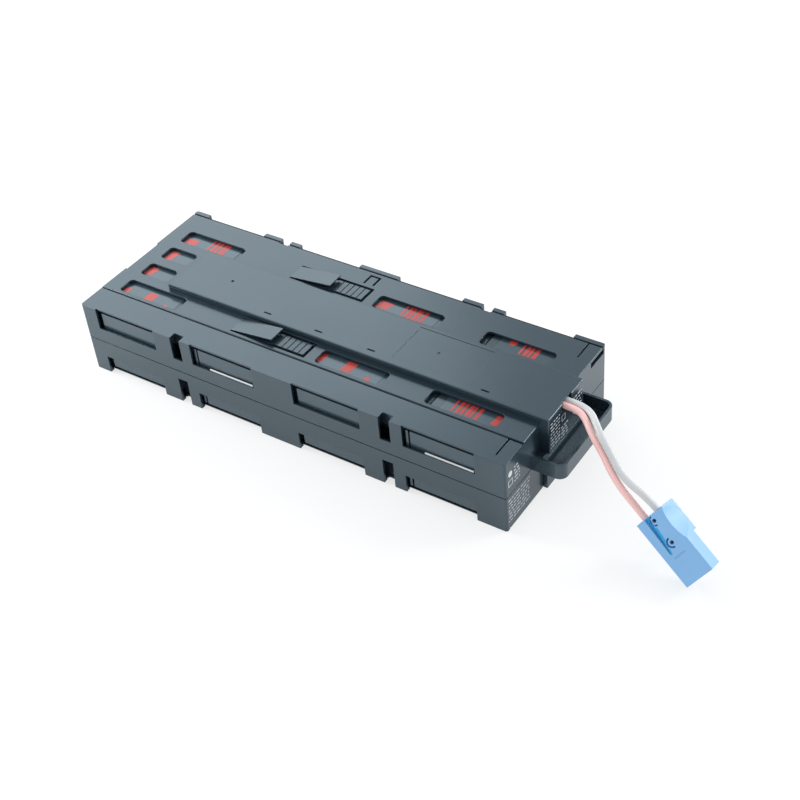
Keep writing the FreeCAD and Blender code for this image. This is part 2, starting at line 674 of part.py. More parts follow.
def pull_handle():
    """A U-shaped tray with a ledge under the wiring cover and two hooks into the end wall."""
    name = "pull_handle"
    back, front = HALF_LENGTH, "(housing_length / 2 + handle_reach)"
    outer_front = size("housing_length") / 2 + size("handle_reach")
    block = slab(f"{name}_block", (back, front), ("-handle_width / 2", "handle_width / 2"),
                 (HANDLE_BOTTOM, HANDLE_TOP))
    outside = rounded(f"{name}_outside", block, size("handle_corner_radius"),
                      lambda edge: upright(edge) and edge.BoundBox.XMin > outer_front - NEAR)
    basin = slab(f"{name}_basin_block", (f"{back} - {PAST}", f"{front} - handle_wall"),
                 ("-handle_width / 2 + handle_wall", "handle_width / 2 - handle_wall"),
                 (f"{HANDLE_BOTTOM} + handle_floor", f"{HANDLE_TOP} + {PAST}"))
    inner_front = outer_front - size("handle_wall")
    hollow = rounded(f"{name}_basin", basin, size("handle_corner_radius") - size("handle_wall"),
                     lambda edge: upright(edge) and edge.BoundBox.XMin > inner_front - NEAR)
    tray = cut(f"{name}_tray", outside, [hollow])
    ledge_half = "(handle_width / 2 - handle_ledge_margin)"
    ledge_block = slab(f"{name}_ledge_block", (back, f"{back} + handle_ledge"),
                       (f"-{ledge_half}", ledge_half), (HANDLE_BOTTOM, LEDGE_TOP))
    ledge_front = size("housing_length") / 2 + size("handle_ledge")
    ledge = rounded(f"{name}_ledge", ledge_block, size("handle_ledge") / 2,
                    lambda edge: upright(edge) and edge.BoundBox.XMin > ledge_front - NEAR)
    pieces = [tray, ledge]
    for side, word in SIDES:
        middle = f"{side} * handle_hook_offset"
        across = (f"{middle} - handle_hook_width / 2", f"{middle} + handle_hook_width / 2")
        tip = f"({INNER_X} - hook_clearance - handle_hook_thickness)"
        pieces.append(slab(f"{name}_{word}_shank", (tip, f"{back} + {INTO}"), across,
                           (HOOK_SHANK_BOTTOM, f"{HOOK_SHANK_BOTTOM} + handle_hook_shank")))
        pieces.append(slab(f"{name}_{word}_catch", (tip, f"{tip} + handle_hook_thickness"), across,
                           (HOOK_SHANK_BOTTOM, f"{HOOK_SHANK_BOTTOM} + handle_hook_rise")))
    return fuse(name, pieces)


def behind(face, toward, near, far):
    """The stretch of X between two depths behind a lid's outer face."""
    ends = (f"{face} - {toward} * ({far})", f"{face} - {toward} * ({near})")
    return ends if toward > 0 else ends[::-1]


def battery(number, face, toward):
    """A battery lying on its broad side, its lid and terminals towards one terminal gap."""
    half_width = BATTERY_SIDE
    level = f"({PARTING} + terminal_rise)"
    lid_name, case_name = f"battery_lid_{number}", f"battery_case_{number}"
    block = slab(f"{case_name}_block", behind(face, toward, "lid_depth", BATTERY_LENGTH),
                 (f"-{half_width}", half_width), (BATTERY_BOTTOM, BATTERY_TOP))
    case = rounded(case_name, block, size("battery_edge_radius"),
                   lambda edge: runs_along(edge, 0) or upright(edge))
    lid_block = slab(f"{lid_name}_block", behind(face, toward, "0", "lid_depth"),
                     (f"-{half_width} + lid_inset", f"{half_width} - lid_inset"),
                     (f"{BATTERY_BOTTOM} + lid_inset", f"{BATTERY_TOP} - lid_inset"))
    lid_round = rounded(f"{lid_name}_round", lid_block, size("battery_edge_radius"),
                        lambda edge: runs_along(edge, 0))
    cover_across = (f"-({BATTERY_SIDE} - vent_cover_margin)",
                    f"({BATTERY_SIDE} - vent_cover_margin)")
    cover_up = (f"{PARTING} - vent_cover_width / 2", f"{PARTING} + vent_cover_width / 2")
    tools = [slab(f"{lid_name}_vent_seat",
                  behind(face, toward, f"-{PAST}", "vent_cover_depth - vent_cover_proud"),
                  cover_across, cover_up)]
    groove = behind(face, toward, "lid_depth - lid_groove_width", "lid_depth")
    bottom = f"({BATTERY_BOTTOM} + lid_inset + lid_groove_depth)"
    top = f"({BATTERY_TOP} - lid_inset - lid_groove_depth)"
    tools.append(slab(f"{lid_name}_top_groove", groove, (f"-{half_width}", half_width),
                      (top, BATTERY_TOP)))
    tools.append(slab(f"{lid_name}_bottom_groove", groove, (f"-{half_width}", half_width),
                      (BATTERY_BOTTOM, bottom)))
    for side, word in SIDES:
        inner = f"{half_width} - lid_inset - lid_groove_depth"
        tools.append(slab(f"{lid_name}_{word}_groove", groove, facing(side, inner, half_width),
                          (BATTERY_BOTTOM, BATTERY_TOP)))
    blades = []
    for side, word in SIDES:
        middle = f"{side} * ({BATTERY_SIDE} - terminal_edge_distance)"
        tools.append(slab(f"{lid_name}_{word}_well",
                          behind(face, toward, f"-{PAST}", "terminal_well_depth"),
                          (f"{middle} - terminal_well_width / 2",
                           f"{middle} + terminal_well_width / 2"),
                          (f"{level} - terminal_well_height / 2",
                           f"{level} + terminal_well_height / 2")))
        blades.append(slab(f"battery_terminals_{number}_{word}",
                           behind(face, toward, "terminal_well_depth - blade_reach",
                                  "terminal_well_depth"),
                           (f"{middle} - blade_width / 2", f"{middle} + blade_width / 2"),
                           (f"{level} - blade_thickness / 2", f"{level} + blade_thickness / 2")))
    lid = cut(lid_name, lid_round, tools)
    vent = slab(f"vent_cover_{number}",
                behind(face, toward, "-vent_cover_proud", "vent_cover_depth - vent_cover_proud"),
                cover_across, cover_up)
    terminals = doc.addObject("Part::Compound", f"battery_terminals_{number}")
    terminals.Links = blades
    label = slab(f"battery_label_{number}",
                 behind(face, toward, "lid_depth + label_end_margin",
                        f"{BATTERY_LENGTH} - label_end_margin"),
                 (f"-{half_width} + label_side_margin", f"{half_width} - label_side_margin"),
                 (BATTERY_TOP, f"{BATTERY_TOP} + label_thickness"))
    return [(case_name, case), (lid_name, lid), (f"vent_cover_{number}", vent),
            (f"battery_terminals_{number}", terminals), (f"battery_label_{number}", label)]


def terminal_receptacles(faces):
    """One push-on receptacle over each blade, with a slot that the blade fills."""
    sleeves = []
    level = f"({PARTING} + terminal_rise)"
    for number, (face, toward) in enumerate(faces, start=1):
        for side, word in SIDES:
            middle = f"{side} * ({BATTERY_SIDE} - terminal_edge_distance)"
            name = f"receptacle_{number}_{word}"
            floor = "terminal_well_depth - receptacle_setback"
            block = slab(f"{name}_block", behind(face, toward, f"{floor} - receptacle_length", floor),
                         (f"{middle} - receptacle_width / 2", f"{middle} + receptacle_width / 2"),
                         (f"{level} - receptacle_height / 2", f"{level} + receptacle_height / 2"))
            slot = slab(f"{name}_slot",
                        behind(face, toward, "terminal_well_depth - blade_reach",
                               "terminal_well_depth"),
                        (f"{middle} - blade_width / 2", f"{middle} + blade_width / 2"),
                        (f"{level} - blade_thickness / 2", f"{level} + blade_thickness / 2"))
            sleeves.append(cut(name, block, [slot]))
    group = doc.addObject("Part::Compound", "terminal_receptacles")
    group.Links = sleeves
    return group


def turn_at(before, corner, after):
    inward, onward = (before - corner).normalize(), (after - corner).normalize()
    return inward, onward, (math.pi - inward.getAngle(onward)) / 2


def tube(name, route, diameter, bends):
    """A round tube along straight runs joined by tangent arcs, one bend radius a corner."""
    corners = [FreeCAD.Vector(*point) for point in route]
    edges, start = [], corners[0]
    for before, corner, after, bend in zip(corners, corners[1:], corners[2:], bends):
        inward, onward, half_turn = turn_at(before, corner, after)
        setback = bend * math.tan(half_turn)
        first, last = corner + inward * setback, corner + onward * setback
        middle = corner + (inward + onward).normalize() * (bend / math.cos(half_turn) - bend)
        if (first - start).Length > NEAR:
            edges.append(Part.LineSegment(start, first).toShape())
        edges.append(Part.Arc(first, middle, last).toShape())
        start = last
    edges.append(Part.LineSegment(start, corners[-1]).toShape())
    path = Part.Wire(edges)
    ring = Part.Circle(corners[0], corners[1] - corners[0], diameter / 2).toShape()
    solid = path.makePipeShell([Part.Wire([ring])], True, False)
    expected = math.pi * diameter ** 2 / 4 * path.Length
    print(f"{name}: length {path.Length:.1f}, volume / (section x length) "
          f"{solid.Volume / expected:.5f}, least bend {min(bends) / diameter:.1f} diameters")
    item = doc.addObject("Part::Feature", name)
    item.Shape = solid
    item.Placement = FreeCAD.Placement()
    return item


# Share of the shorter run that an arc of a free lead takes
RUN_SHARE = 0.45


def widest_bends(route):
    """Each corner's arc as large as its two runs allow."""
    corners = [FreeCAD.Vector(*point) for point in route]
    bends = []
    for before, corner, after in zip(corners, corners[1:], corners[2:]):
        half_turn = turn_at(before, corner, after)[2]
        shorter = min((before - corner).Length, (after - corner).Length)
        bends.append(RUN_SHARE * shorter / math.tan(half_turn))
    return bends


def notch_face():
    """The outer face of the wiring cover's end, where the leads come out."""
    return size("housing_length") / 2 + size("cover_overhang")


# A hair of slack between a bend and the end of its run
SLACK = 0.1


def inner_wiring():
    """Jumpers between the batteries and the covered lengths of both leads."""
    ends = size("battery_end_margin") + size("battery_far_margin")
    between = 2 * size("terminal_gap") + size("middle_gap")
    battery_length = (size("housing_length") - ends - between) / 4
    first_gap = -size("housing_length") / 2 + size("battery_end_margin") + battery_length
    pitch = 2 * battery_length + size("terminal_gap") + size("middle_gap")
    out = size("receptacle_setback") + size("receptacle_length") - size("terminal_well_depth")
    level = size("housing_height") / 2 + size("terminal_rise")
    cross = size("housing_height") / 2 + size("cross_run_rise")
    channel = size("housing_height") + size("lead_exit_rise")
    far_side = (size("housing_width") / 2 - size("battery_side_gap")
                - size("terminal_edge_distance"))
    jumper, lead = size("jumper_diameter"), size("lead_diameter")
    small, wide = size("jumper_bend") + SLACK, size("lead_bend") + SLACK
    left = [first_gap + index * pitch + out for index in range(2)]
    right = [x - 2 * out + size("terminal_gap") for x in left]
    pieces = []
    for number, (start, end) in enumerate(zip(left, right)):
        bend = (end - start) / 4
        route = [(start, far_side, level), (start + bend, far_side, level),
                 (start + bend, far_side, cross), (end - bend, far_side, cross),
                 (end - bend, far_side, level), (end, far_side, level)]
        name = f"jumper_{2 * number + 1}_{2 * number + 2}"
        pieces.append((name, tube(name, route, jumper, [bend - SLACK] * 4)))
    rise, turn = size("rise_bend"), size("channel_bend")
    plus, minus = size("positive_lead_offset"), size("negative_lead_offset")
    start_x, end_x = right[0] - small, left[1] + small
    route = [(right[0], -far_side, level), (start_x, -far_side, level),
             (start_x, -far_side, cross), (start_x, minus, cross), (start_x, minus, channel),
             (end_x, minus, channel), (end_x, minus, cross), (end_x, -far_side, cross),
             (end_x, -far_side, level), (left[1], -far_side, level)]
    bends = [size("jumper_bend"), rise, turn, turn, turn, turn, rise, size("jumper_bend")]
    pieces.append(("jumper_2_3", tube("jumper_2_3", route, jumper, bends)))
    for word, start, toward, offset in (("positive", left[0], 1, plus),
                                        ("negative", right[1], -1, minus)):
        x = start + toward * wide
        route = [(start, -far_side, level), (x, -far_side, level), (x, -far_side, cross),
                 (x, offset, cross), (x, offset, channel), (notch_face(), offset, channel)]
        name = f"inner_lead_{word}"
        pieces.append((name, tube(name, route, lead, [size("lead_bend"), rise, turn, turn])))
    return pieces


# Routes of the free leads from the wiring cover's notch, with X counted from the notch, to the
# rear of the connector
POSITIVE_ROUTE = (
    (0.0, -1.8, 72.9), (10.0, -1.8, 72.9), (19.0, -5.5, 71.5), (31.5, -17.5, 67.5),
    (45.5, -26.5, 62.0), (58.0, -37.0, 57.0), (71.0, -45.5, 53.0), (83.74, -50.65, 48.06),
    (95.05, -53.41, 40.70))
NEGATIVE_ROUTE = (
    (0.0, 4.4, 72.9), (10.0, 4.4, 72.9), (21.0, 0.5, 73.0), (30.5, -9.5, 73.5),
    (41.0, -20.0, 70.5), (53.5, -28.5, 65.0), (65.0, -38.0, 60.5), (78.5, -42.0, 59.5),
    (91.21, -46.10, 56.45), (101.91, -48.71, 49.49))


def free_lead(name, route, offset):
    """A lead in the open; its near end follows the covered wiring, its far end the connector."""
    shift_y = offset - route[0][1]
    shift_z = size("housing_height") + size("lead_exit_rise") - route[0][2]
    steps = len(route) - 3
    points = []
    for number, (x, y, z) in enumerate(route):
        share = min(max((steps + 1 - number) / steps, 0), 1)
        points.append((notch_face() + x, y + share * shift_y, z + share * shift_z))
    bends = widest_bends(points)
    print(f"{name} bends in diameters:",
          ", ".join(f"{bend / size('lead_diameter'):.1f}" for bend in bends))
    return tube(name, points, size("lead_diameter"), bends)


def connector_placement():
    """The connector leans on its lower front corner, held up by the two stiff leads."""
    turn = FreeCAD.Rotation(size("connector_yaw"), size("connector_pitch"),
                            size("connector_roll"))
    lowest = turn.multVec(FreeCAD.Vector(size("connector_length"), 0, -size("connector_depth"))).z
    return FreeCAD.Placement(
        FreeCAD.Vector(notch_face() + size("connector_reach"), size("connector_y"), -lowest), turn)


def contact_channels():
    """Widths of the two chambers of the connector's mouth, across its local Y."""
    half = "(connector_width / 2)"
    return (("mouth_wall", f"{half} - mouth_wall / 2"),
            (f"{half} + mouth_wall / 2", "connector_width - mouth_wall"))


def contact_bar(name, chamber):
    middle = f"((({chamber[0]}) + ({chamber[1]})) / 2)"
    return slab(name, ("connector_length - contact_setback - contact_length",
                       "connector_length - contact_setback"),
                (f"{middle} - contact_width / 2", f"{middle} + contact_width / 2"),
                ("-contact_seat - contact_thickness", "-contact_seat"))


def connector_housing():
    """Two-pole housing in its own frame: X rear to front, Y across, Z out of the broad face."""
    name = "connector_housing"
    front = slab(f"{name}_front", ("0", "connector_length"), ("0", "connector_width"),
                 ("-connector_depth", "0"))
    rear = slab(f"{name}_rear", ("0", "connector_rear_length"), ("0", "connector_width"),
                ("-connector_rear_depth", "0"))
    block = fuse(f"{name}_block", [front, rear])
    outside = rounded(f"{name}_outside", block, size("connector_edge_radius"),
                      lambda edge: runs_along(edge, 0) or runs_along(edge, 2))
    tools = []
    for number, along in enumerate(("pin_hole_first", "pin_hole_second"), start=1):
        outer = rod(f"{name}_ring_outer_{number}", "pin_ring_radius",
                    f"pin_ring_depth + {PAST}", along, "pin_hole_line", "-pin_ring_depth")
        inner = rod(f"{name}_ring_inner_{number}", "pin_ring_radius - pin_ring_width",
                    f"pin_ring_depth + {PAST}", along, "pin_hole_line", "-pin_ring_depth")
        far_half = slab(f"{name}_ring_half_{number}",
                        (f"{along} - pin_ring_radius - {PAST}", f"{along} + pin_ring_radius + {PAST}"),
                        ("pin_hole_line", f"pin_hole_line + pin_ring_radius + {PAST}"),
                        ("-pin_ring_depth", PAST))
        tools.append(cut(f"{name}_ring_{number}", outer, [inner, far_half]))
        tools.append(rod(f"{name}_pin_hole_{number}", "pin_hole_radius",
                         f"pin_hole_depth + {PAST}", along, "pin_hole_line", "-pin_hole_depth"))
    tools.append(prism(f"{name}_relief",
                       ((f"-{PAST}", "relief_start"), ("relief_length", f"relief_tip - {INTO}"),
                        ("relief_length", f"relief_tip + {INTO}"),
                        (f"-{PAST}", "relief_start + relief_width")), FLAT,
                       ("0", "0", "-relief_depth"), f"relief_depth + {PAST}"))
    tools.append(slab(f"{name}_face_step",
                      ("face_step_start", "face_step_start + face_step_width"),
                      ("relief_start", "connector_width - relief_start"),
                      ("-face_step_depth", PAST)))
    scallop_radius = "(scallop_length ^ 2 / (8 * scallop_depth) + scallop_depth / 2)"
    scallop = rod(f"{name}_scallop", scallop_radius,
                  f"connector_rear_depth + {scallop_radius} / 4", "scallop_length / 2",
                  f"connector_width + {scallop_radius}", "-connector_rear_depth")
    lean = math.degrees(math.atan2(size("scallop_depth"), size("connector_rear_depth")))
    scallop.Placement.Rotation = FreeCAD.Rotation(FreeCAD.Vector(1, 0, 0), lean)
    tools.append(scallop)
    for number, chamber in enumerate(contact_channels(), start=1):
        tools.append(slab(f"{name}_mouth_{number}",
                          ("connector_length - mouth_depth", f"connector_length + {PAST}"),
                          chamber, ("-connector_depth + mouth_wall", "-mouth_wall")))
        tools.append(contact_bar(f"{name}_contact_seat_{number}", chamber))
    return cut(name, outside, tools)


def connector_contacts():
    bars = [contact_bar(f"contact_{number}", chamber)
            for number, chamber in enumerate(contact_channels(), start=1)]
    group = doc.addObject("Part::Compound", "connector_contacts")
    group.Links = bars
    return group


nodes = []
nodes.append(("upper_shell", shell("upper_shell", True)))
nodes.append(("lower_shell", shell("lower_shell", False)))
nodes.append(("wiring_cover", wiring_cover()))
nodes.append(("pull_handle", pull_handle()))
faces = ((GAP_1, 1), (BATTERY_2, -1), (GAP_2, 1), (BATTERY_4, -1))
for number, (face, toward) in enumerate(faces, start=1):
    nodes += battery(number, face, toward)
nodes.append(("terminal_receptacles", terminal_receptacles(faces)))
nodes += inner_wiring()
for word, route in (("positive", POSITIVE_ROUTE), ("negative", NEGATIVE_ROUTE)):
    name = f"lead_{word}"
    nodes.append((name, free_lead(name, route, size(f"{word}_lead_offset"))))
nodes.append(("connector_housing", connector_housing()))
nodes.append(("connector_contacts", connector_contacts()))
for name, item in nodes:
    item.Label = name
    if name == "lower_shell":
        item.Placement = FreeCAD.Placement(FreeCAD.Vector(0, 0, size("housing_height")),
                                           FreeCAD.Rotation(FreeCAD.Vector(1, 0, 0), 180))
    elif name.startswith("connector"):
        item.Placement = connector_placement()
doc.recompute()

failed = [item.Label for item in doc.Objects if "Invalid" in item.State or "Error" in item.State]
for name, item in nodes:
    if item.Shape.isNull() or not item.Shape.isValid() or not item.Shape.Solids:
        failed.append(name)
if failed:
    raise RuntimeError("failed: " + ", ".join(failed))

os.makedirs("parts", exist_ok=True)
for name, item in nodes:
    item.Shape.exportStep(f"parts/{name}.step")
    box = item.Shape.BoundBox
    print(f"{name}: {len(item.Shape.Solids)} solid, {item.Shape.Volume / 1000:.1f} cm3, "
          f"X {box.XMin:.1f} {box.XMax:.1f}, Y {box.YMin:.1f} {box.YMax:.1f}, "
          f"Z {box.ZMin:.1f} {box.ZMax:.1f}")
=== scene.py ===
import math

import bmesh
import bpy
from mathutils import Matrix, Vector


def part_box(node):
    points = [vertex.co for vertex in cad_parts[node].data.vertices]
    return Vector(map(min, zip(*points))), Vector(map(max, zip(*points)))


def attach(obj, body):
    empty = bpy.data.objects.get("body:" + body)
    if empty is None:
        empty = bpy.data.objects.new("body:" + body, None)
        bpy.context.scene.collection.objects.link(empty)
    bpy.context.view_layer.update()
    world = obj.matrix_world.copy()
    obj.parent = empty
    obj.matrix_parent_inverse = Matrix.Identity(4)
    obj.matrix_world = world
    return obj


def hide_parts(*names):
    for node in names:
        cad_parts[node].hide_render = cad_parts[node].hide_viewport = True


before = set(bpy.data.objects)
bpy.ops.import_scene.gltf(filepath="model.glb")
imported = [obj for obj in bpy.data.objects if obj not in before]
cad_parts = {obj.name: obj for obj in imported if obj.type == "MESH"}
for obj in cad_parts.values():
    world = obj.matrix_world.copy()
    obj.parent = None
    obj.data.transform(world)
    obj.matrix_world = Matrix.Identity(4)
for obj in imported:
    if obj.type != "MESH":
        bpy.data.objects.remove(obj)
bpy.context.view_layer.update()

MM = 0.001
BODY = "root"


def add_object(name, data):
    item = bpy.data.objects.new(name, data)
    bpy.context.scene.collection.objects.link(item)
    return item


# Camera at the photograph's viewing angle

CAMERA_TARGET = Vector((0.08063, -0.02330, 0.036))
CAMERA_DISTANCE = 1.20527
CAMERA_AZIMUTH = 37.019
CAMERA_ELEVATION = 40.698
CAMERA_ROLL = -5.766
CAMERA_LENS_MM = 65.196
SENSOR_MM = 36.0


def add_camera():
    turn, rise, roll = (math.radians(a) for a in (CAMERA_AZIMUTH, CAMERA_ELEVATION, CAMERA_ROLL))
    away = Vector((math.sin(turn) * math.cos(rise), -math.cos(turn) * math.cos(rise),
                   math.sin(rise)))
    level = Vector((math.cos(turn), math.sin(turn), 0.0))
    upward = away.cross(level)
    right = level * math.cos(roll) + upward * math.sin(roll)
    data = bpy.data.cameras.new("camera")
    data.lens = CAMERA_LENS_MM
    data.sensor_width = SENSOR_MM
    camera = add_object("camera", data)
    axes = Matrix((right, away.cross(right), away)).transposed()
    camera.matrix_world = (Matrix.Translation(CAMERA_TARGET + away * CAMERA_DISTANCE)
                           @ axes.to_4x4())
    bpy.context.scene.camera = camera


# Node helpers

def new_material(name):
    material = bpy.data.materials.new(name)
    material.use_nodes = True
    tree = material.node_tree
    return material, tree, tree.nodes["Principled BSDF"]


def add_node(tree, kind, inputs=(), **settings):
    item = tree.nodes.new(kind)
    for key, value in settings.items():
        setattr(item, key, value)
    for key, value in dict(inputs).items():
        item.inputs[key].default_value = value
    return item


def colour_range(tree, source, low, high, dark, light):
    """Colour that runs from dark to light as the source goes from low to high."""
    ramp = add_node(tree, "ShaderNodeValToRGB")
    ramp.color_ramp.elements[0].position = low
    ramp.color_ramp.elements[0].color = (*dark, 1.0)
    ramp.color_ramp.elements[1].position = high
    ramp.color_ramp.elements[1].color = (*light, 1.0)
    tree.links.new(source, ramp.inputs["Fac"])
    return ramp.outputs["Color"]


def number_range(tree, source, low, high):
    """A number that runs from low to high as the source goes from 0 to 1."""
    scale = add_node(tree, "ShaderNodeMapRange", {"To Min": low, "To Max": high})
    tree.links.new(source, scale.inputs["Value"])
    return scale.outputs["Result"]


def noise(tree, scale, detail, stretch=(1.0, 1.0, 1.0)):
    where = add_node(tree, "ShaderNodeTexCoord")
    mapping = add_node(tree, "ShaderNodeMapping", {"Scale": stretch})
    tree.links.new(where.outputs["Object"], mapping.inputs["Vector"])
    pattern = add_node(tree, "ShaderNodeTexNoise", {"Scale": scale, "Detail": detail})
    tree.links.new(mapping.outputs["Vector"], pattern.inputs["Vector"])
    return pattern.outputs["Fac"]


BEVEL_SAMPLES = 6


def textured_normal(tree, shader, height, strength, depth, edge_radius=0.0):
    """Bump from the height, over edges that are eased by the given radius in metres."""
    bump = add_node(tree, "ShaderNodeBump", {"Strength": strength, "Distance": depth})
    tree.links.new(height, bump.inputs["Height"])
    if edge_radius:
        ease = add_node(tree, "ShaderNodeBevel", {"Radius": edge_radius}, samples=BEVEL_SAMPLES)
        tree.links.new(ease.outputs["Normal"], bump.inputs["Normal"])
    tree.links.new(bump.outputs["Normal"], shader.inputs["Normal"])


# Materials: each plastic has its colour range, its roughness range and its surface

TONE_SCALE = 14.0
TONE_BAND = (0.3, 0.7)
SMEAR_SCALE = 30.0
SMEAR_STRETCH = (0.35, 1.0, 1.0)
GRAIN_SCALE = 2600.0
GRAIN_DEPTH = 0.00006
EDGE_RADIUS = 0.0005
SHELL_EDGE_RADIUS = 0.00045


def moulded_plastic(name, dark, light, roughness, strength, grain=GRAIN_SCALE, edge=EDGE_RADIUS,
                    specular=0.5, tint=(1.0, 1.0, 1.0)):
    """Moulded plastic: fine spark-eroded grain, faint flow marks and eased edges."""
    material, tree, shader = new_material(name)
    shader.inputs["Specular IOR Level"].default_value = specular
    shader.inputs["Specular Tint"].default_value = (*tint, 1.0)
    tree.links.new(colour_range(tree, noise(tree, TONE_SCALE, 3.0), *TONE_BAND, dark, light),
                   shader.inputs["Base Color"])
    smears = noise(tree, SMEAR_SCALE, 4.0, SMEAR_STRETCH)
    tree.links.new(number_range(tree, smears, *roughness), shader.inputs["Roughness"])
    textured_normal(tree, shader, noise(tree, grain, 2.0), strength, GRAIN_DEPTH, edge)
    return material


# Dark plastic mirrors the room with a cool tint, print is thin and has no edge of its own
MIRRORING = {"specular": 1.0, "tint": (0.72, 0.90, 1.0)}
PRINTED = {"strength": 0.06, "grain": 500.0, "edge": 0.0}
INSULATION = {"strength": 0.12, "grain": 900.0, "edge": 0.0}
FINE = {"strength": 0.08, "grain": 1500.0}
FINE_FLOOR = {**FINE, "edge": 0.0}

SHELL = moulded_plastic("shell_plastic", (0.014, 0.025, 0.035), (0.019, 0.031, 0.042),
                        (0.20, 0.28), 0.12, edge=SHELL_EDGE_RADIUS, **MIRRORING)
COVER = moulded_plastic("cover_plastic", (0.015, 0.026, 0.036), (0.020, 0.032, 0.043),
                        (0.18, 0.25), 0.10, edge=SHELL_EDGE_RADIUS, **MIRRORING)
BATTERY = moulded_plastic("battery_plastic", (0.014, 0.024, 0.032), (0.020, 0.031, 0.040),
                          (0.14, 0.20), 0.10, **MIRRORING)
# Painted light: the pads are lighter than the shell to make up for the shade behind the windows
LIGHTENED_PAD = moulded_plastic("side_pad_painted_light", (0.030, 0.046, 0.058), (0.038, 0.055, 0.068),
                      (0.16, 0.24), 0.12, **MIRRORING)
FILM = moulded_plastic("battery_film", (0.026, 0.042, 0.054), (0.034, 0.051, 0.064),
                       (0.14, 0.20), 0.06, grain=400.0, **MIRRORING)
# Painted shadow: near-black for the shadow gaps in the seams of the top
PAINTED_SEAM_SHADOW = moulded_plastic("seam_shadow", (0.003, 0.005, 0.007), (0.005, 0.007, 0.009),
                       (0.45, 0.60), 0.10, edge=0.0, specular=0.25)
PRINT = moulded_plastic("red_print", (0.36, 0.026, 0.022), (0.47, 0.050, 0.040),
                        (0.18, 0.26), **PRINTED)
PALE_PRINT = moulded_plastic("pale_print", (0.46, 0.49, 0.51), (0.62, 0.65, 0.67),
                             (0.30, 0.40), **PRINTED)
FOAM = moulded_plastic("foam_strip", (0.86, 0.83, 0.82), (0.93, 0.92, 0.91),
                       (0.55, 0.70), 0.30, grain=1200.0, edge=0.0)
PINK = moulded_plastic("positive_insulation", (0.83, 0.48, 0.45), (0.88, 0.55, 0.52),
                       (0.30, 0.42), **INSULATION)
GREY = moulded_plastic("negative_insulation", (0.53, 0.53, 0.53), (0.61, 0.61, 0.61),
                       (0.30, 0.42), **INSULATION)
BLACK_WIRE = moulded_plastic("jumper_insulation", (0.012, 0.013, 0.015), (0.018, 0.020, 0.022),
                             (0.34, 0.44), 0.25, edge=0.0)
BLUE = moulded_plastic("connector_plastic", (0.21, 0.43, 0.72), (0.24, 0.47, 0.77),
                       (0.24, 0.34), **FINE)
# Painted shade: darker blues for the shade in the connector's recesses, slots and holes
RECESS_SHADE_BLUE = moulded_plastic("connector_recess_painted_shade", (0.005, 0.300, 0.62), (0.009, 0.340, 0.68),
                            (0.30, 0.40), **FINE_FLOOR)
SLOT_SHADE_BLUE = moulded_plastic("connector_slot_painted_shade", (0.002, 0.070, 0.30), (0.004, 0.090, 0.36),
                            (0.40, 0.50), **FINE_FLOOR)
HOLE_SHADE_NAVY = moulded_plastic("connector_hole_painted_shade", (0.002, 0.008, 0.055), (0.003, 0.012, 0.075),
                       (0.50, 0.60), **FINE_FLOOR)

DRAWN_SCALE = 900.0
DRAWN_STRETCH = (0.1, 1.0, 1.0)
DRAWN_DEPTH = 0.00002


def metal(name, colour, roughness):
    """Drawn metal with faint marks along its length."""
    material, tree, shader = new_material(name)
    shader.inputs["Base Color"].default_value = (*colour, 1.0)
    shader.inputs["Metallic"].default_value = 1.0
    drawn = noise(tree, DRAWN_SCALE, 2.0, DRAWN_STRETCH)
    tree.links.new(number_range(tree, drawn, *roughness), shader.inputs["Roughness"])
    textured_normal(tree, shader, drawn, 0.1, DRAWN_DEPTH)
    return material


TIN = metal("tinned_brass", (0.72, 0.68, 0.58), (0.28, 0.42))

NODE_MATERIALS = {
    "upper_shell": SHELL, "lower_shell": SHELL, "wiring_cover": COVER, "pull_handle": SHELL,
    "terminal_receptacles": BLACK_WIRE, "inner_lead_positive": PINK, "inner_lead_negative": GREY,
    "connector_housing": BLUE, "connector_contacts": TIN,
}
for name in ("jumper_1_2", "jumper_2_3", "jumper_3_4"):
    NODE_MATERIALS[name] = BLACK_WIRE
for number in range(1, 5):
    NODE_MATERIALS[f"battery_case_{number}"] = BATTERY
    NODE_MATERIALS[f"battery_lid_{number}"] = BATTERY
    NODE_MATERIALS[f"vent_cover_{number}"] = BATTERY
    NODE_MATERIALS[f"battery_terminals_{number}"] = TIN
    NODE_MATERIALS[f"battery_label_{number}"] = FILM

for name, material in NODE_MATERIALS.items():
    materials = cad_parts[name].data.materials
    materials.clear()
    materials.append(material)


# Outlines in a plane, in millimetres

DISC_STEPS = 28
ARC_STEPS = 14
BAR_WIDTHS = (0.7, 1.15, 0.9, 1.3)
LINE_FILL = 0.30
LINE_INDENT = 0.5
LINE_SHORTEST = 1.6
LINE_STEP = 1.2
LINE_GAP = 1.1
LINE_GAP_STEP = 0.6


def oblong(x0, y0, x1, y1, lean=0.0, corner=0.6, steps=4):
    """A rounded block whose far side is shifted along x by the lean."""
    corner = min(corner, (x1 - x0) / 2.2, (y1 - y0) / 2.2)
    outline = []
    for cx, cy, start in ((x1 - corner, y1 - corner, 0), (x0 + corner, y1 - corner, 90),
                          (x0 + corner, y0 + corner, 180), (x1 - corner, y0 + corner, 270)):
        for step in range(steps + 1):
            turn = math.radians(start + 90 * step / steps)
            y = cy + corner * math.sin(turn)
            outline.append((cx + corner * math.cos(turn) + lean * (y - y0) / (y1 - y0), y))
    return outline


def sharp(x0, y0, x1, y1):
    """A block whose corners are hardly rounded."""
    return oblong(x0, y0, x1, y1, 0.0, 0.1, 1)


def disc(x, y, radius):
    turns = [2 * math.pi * i / DISC_STEPS for i in range(DISC_STEPS)]
    return [(x + radius * math.cos(turn), y + radius * math.sin(turn)) for turn in turns]


